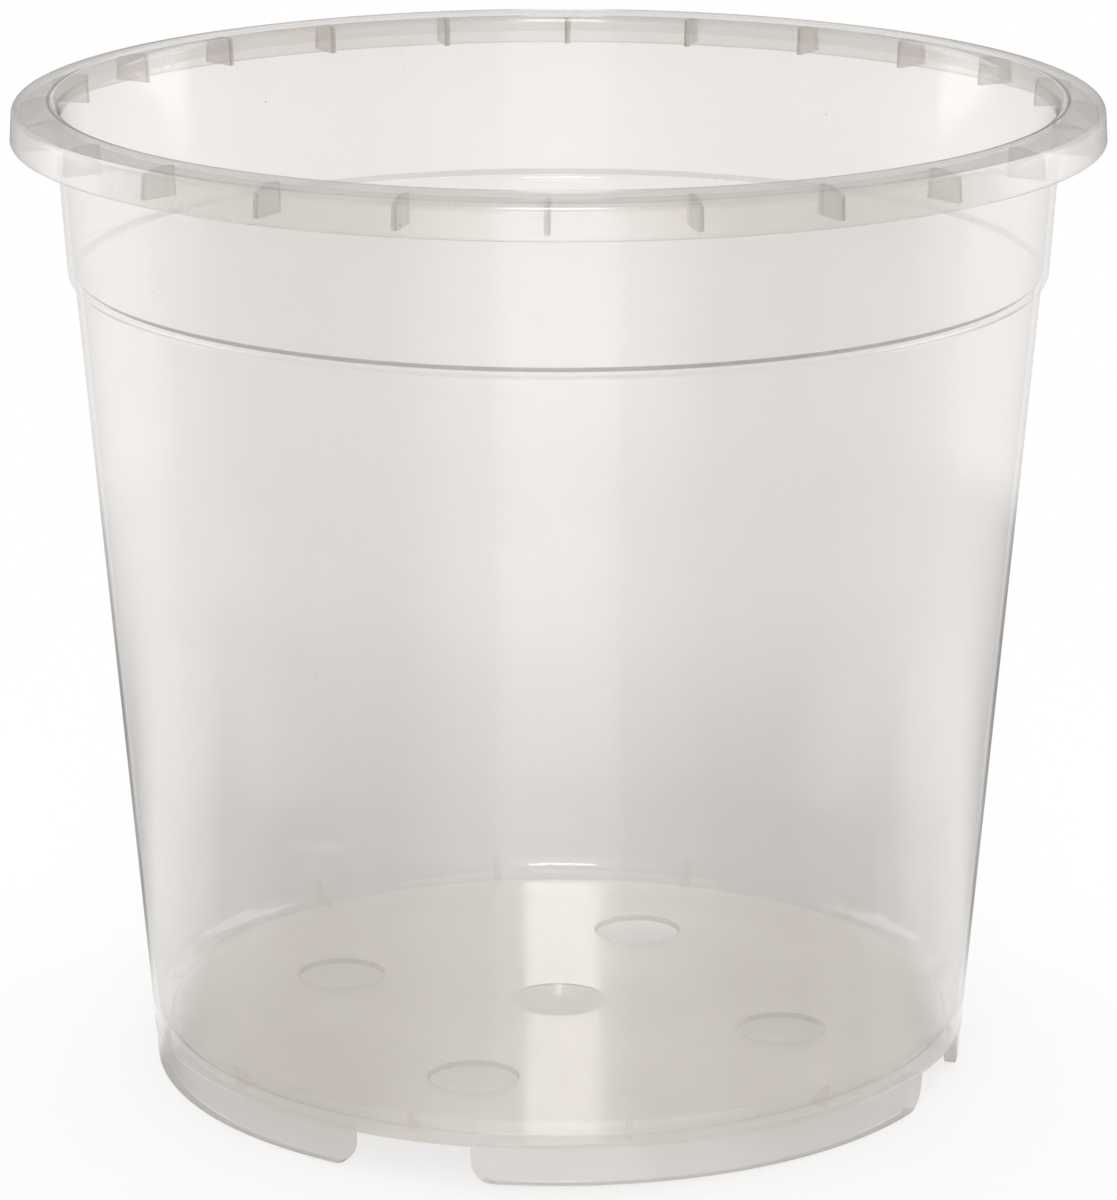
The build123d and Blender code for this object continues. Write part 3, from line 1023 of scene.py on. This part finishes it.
def turnFrom(tree, direction):
    # cosine of a level direction's turn from the camera's side of the studio
    flat = node(tree, "ShaderNodeVectorMath", {0: direction, 1: (1, 1, 0)}, operation="MULTIPLY")
    unit = node(tree, "ShaderNodeVectorMath", {0: flat.outputs[0]}, operation="NORMALIZE")
    return along(tree, unit.outputs[0], frontOfStudio)


def levelRound(tree, ahead, levels):
    ramp = node(tree, "ShaderNodeValToRGB", {"Fac": calc(tree, "MULTIPLY_ADD", ahead, 0.5, 0.5)})
    brightest = max(level for turn, level in levels)
    while len(ramp.color_ramp.elements) < len(levels):
        ramp.color_ramp.elements.new(0.5)
    for stop, (turn, level) in zip(ramp.color_ramp.elements, levels):
        stop.position = (turn + 1) / 2
        stop.color = (level / brightest,) * 3 + (1,)
    return calc(tree, "MULTIPLY", ramp.outputs[0], brightest)


def floorPaper():
    # white paper, lifted to plain white for the eye while the pot's shadow stays
    material = newMaterial("floorPaper")
    tree = material.node_tree
    place = node(tree, "ShaderNodeTexCoord").outputs["Object"]
    away = node(tree, "ShaderNodeVectorMath", {0: place}, operation="LENGTH").outputs["Value"]
    ahead = turnFrom(tree, place)
    path = node(tree, "ShaderNodeLightPath")
    seen = calc(tree, "MAXIMUM", path.outputs["Is Camera Ray"], path.outputs["Is Transmission Ray"])
    glossy = path.outputs["Is Glossy Ray"]
    direct = calc(tree, "LESS_THAN", path.outputs["Transparent Depth"], 0.5)
    direct = calc(tree, "MULTIPLY", direct, path.outputs["Is Camera Ray"])
    bare = fade(tree, away, paper["bareBand"], *paper["bareLift"])
    throughPot = fade(tree, away, paper["throughBand"], *paper["throughLift"])
    lift = calc(tree, "MULTIPLY", seen, between(tree, direct, throughPot, bare))
    lift = calc(tree, "MULTIPLY_ADD", glossy, paper["mirrorLift"], lift)

    # painted reflection: in what the pot mirrors the paper glows, well above white on some sides and darker
    # near the pot's foot; the collar mirrors the farthest paper, brighter and even on both sides
    toRight = calc(tree, "DIVIDE", along(tree, place, rightOfStudio), away)
    rightShare = fade(tree, toRight, paper["rightBand"], 1.0, paper["rightShare"], course="LINEAR")
    underfoot = fade(tree, away, paper["underfootBand"], paper["underfootShare"])
    farthest = fade(tree, away, paper["farthestBand"])
    farShare = between(tree, farthest, rightShare, paper["farthestShare"])
    near = calc(tree, "MULTIPLY", levelRound(tree, ahead, nearPaperGlow), underfoot)
    far = calc(tree, "MULTIPLY", levelRound(tree, ahead, farPaperGlow), farShare)
    paintedMirrorGlow = between(tree, fade(tree, away, paper["farBand"]), near, far)
    level = between(tree, glossy, 1.0, paintedMirrorGlow)

    # the paper just behind the pot, as seen through it, is in the deepest shadow
    outside = fade(tree, away, paper["shadowIn"])
    clearing = fade(tree, away, paper["shadowOut"], 1.0, 0.0)
    deep = calc(tree, "MULTIPLY", outside, clearing)
    deep = calc(tree, "MULTIPLY", deep, calc(tree, "SUBTRACT", 1.0, direct))
    deep = calc(tree, "MULTIPLY", deep, fade(tree, ahead, paper["shadowBehind"]))

    tooth = noise(tree, place, paper["toothScale"], detail=3.0)
    bump = node(tree, "ShaderNodeBump", {
        "Height": tooth, "Strength": paper["toothStrength"], "Distance": paper["toothHeight"]}).outputs[0]
    matt = node(tree, "ShaderNodeBsdfDiffuse", {
        "Normal": bump, "Color": blended(tree, deep, paper["colour"], paper["shadowColour"])})
    white = node(tree, "ShaderNodeEmission", {"Strength": level, "Color": plainWhite})
    showShader(tree, eitherShader(tree, lift, matt, white))
    return material


work = bmesh.new()
bmesh.ops.create_circle(work, cap_ends=True, segments=paper["facets"], radius=paper["radius"])
floorMesh = bpy.data.meshes.new("studioFloor")
work.to_mesh(floorMesh)
work.free()
floorMesh.transform(Matrix.Translation((0, 0, -paper["drop"])))
studioFloor = linked("studioFloor", floorMesh)
studioFloor.data.materials.append(floorPaper())

# the room, darker overhead in what the pot mirrors, and plain white to the camera
overheadBand = (0.5, 0.75)      # how steeply a direction looks up, as a sine
overheadShare = 0.35
world = bpy.data.worlds.new("studioRoom")
world.use_nodes = True
world.cycles.sampling_method = "NONE"
bpy.context.scene.world = world
tree = world.node_tree
tree.nodes.clear()
lookingTo = node(tree, "ShaderNodeTexCoord").outputs["Generated"]
path = node(tree, "ShaderNodeLightPath")
upward = node(tree, "ShaderNodeSeparateXYZ", {0: lookingTo}).outputs["Z"]
overhead = between(
    tree, path.outputs["Is Glossy Ray"], 1.0, fade(tree, upward, overheadBand, 1.0, overheadShare))
roomLevel = calc(
    tree, "MULTIPLY", levelRound(tree, turnFrom(tree, lookingTo), roomLevels), overhead)
roomLight = node(tree, "ShaderNodeBackground", {"Strength": roomLevel, "Color": plainWhite})
backdrop = node(tree, "ShaderNodeBackground", {"Color": plainWhite})
either = eitherShader(tree, path.outputs["Is Camera Ray"], roomLight, backdrop)
showShader(tree, either, "ShaderNodeOutputWorld")

# lamps; a bearing is in degrees round the pot from the camera's side
lamps = {
    "keyStrip": {"size": (0.62, 0.5), "watts": 9.0, "bearing": -1.0, "distance": 1.7, "height": 1.03},
    "leftBox": {"size": (0.5, 1.2), "watts": 4.6, "bearing": -118.0, "distance": 1.2, "height": 0.62},
    "floorStrip": {"size": (0.036, 1.0), "watts": 0.239, "bearing": 179.9, "distance": 1.5, "height": 0.53},
    "rightBox": {"size": (0.5, 1.2), "watts": 4.6, "bearing": 114.0, "distance": 1.2, "height": 0.62},
    "topBox": {"size": (1.6, 1.6), "watts": 5.0, "bearing": 0.0, "distance": 0.0, "height": 1.7},
}
for name, values in lamps.items():
    light = bpy.data.lights.new(name, "AREA")
    light.shape = "RECTANGLE"
    light.size, light.size_y = values["size"]
    light.energy = values["watts"]
    lamp = bpy.data.objects.new(name, light)
    lamp.visible_camera = False
    bpy.context.scene.collection.objects.link(lamp)
    turn = camera["bearing"] + math.radians(values["bearing"])
    spot = Vector((math.sin(turn), -math.cos(turn), 0)) * values["distance"]
    lamp.location = spot + Vector((0, 0, values["height"]))
    aim = Vector((0, 0, values["height"])) if values["distance"] else Vector((0, 0, 0))
    lamp.rotation_euler = (lamp.location - aim).to_track_quat("Z", "Y").to_euler()

lens = bpy.data.cameras.new("camera")
lens.sensor_width = camera["sensor"]
lens.lens = camera["lens"]
lens.clip_start, lens.clip_end = camera["sees"]
viewer = bpy.data.objects.new("camera", lens)
bpy.context.scene.collection.objects.link(viewer)
viewer.location = frontOfStudio * camera["distance"] + Vector((0, 0, camera["height"]))
viewer.rotation_euler = (math.pi / 2 - camera["pitch"], 0, camera["bearing"])
bpy.context.scene.camera = viewer

bpy.context.scene.view_settings.view_transform = "Standard"
cycles = bpy.context.scene.cycles
cycles.transparent_max_bounces = 40
cycles.max_bounces = 7
cycles.diffuse_bounces = 3
cycles.glossy_bounces = 3
print("stage, lamps and camera set")
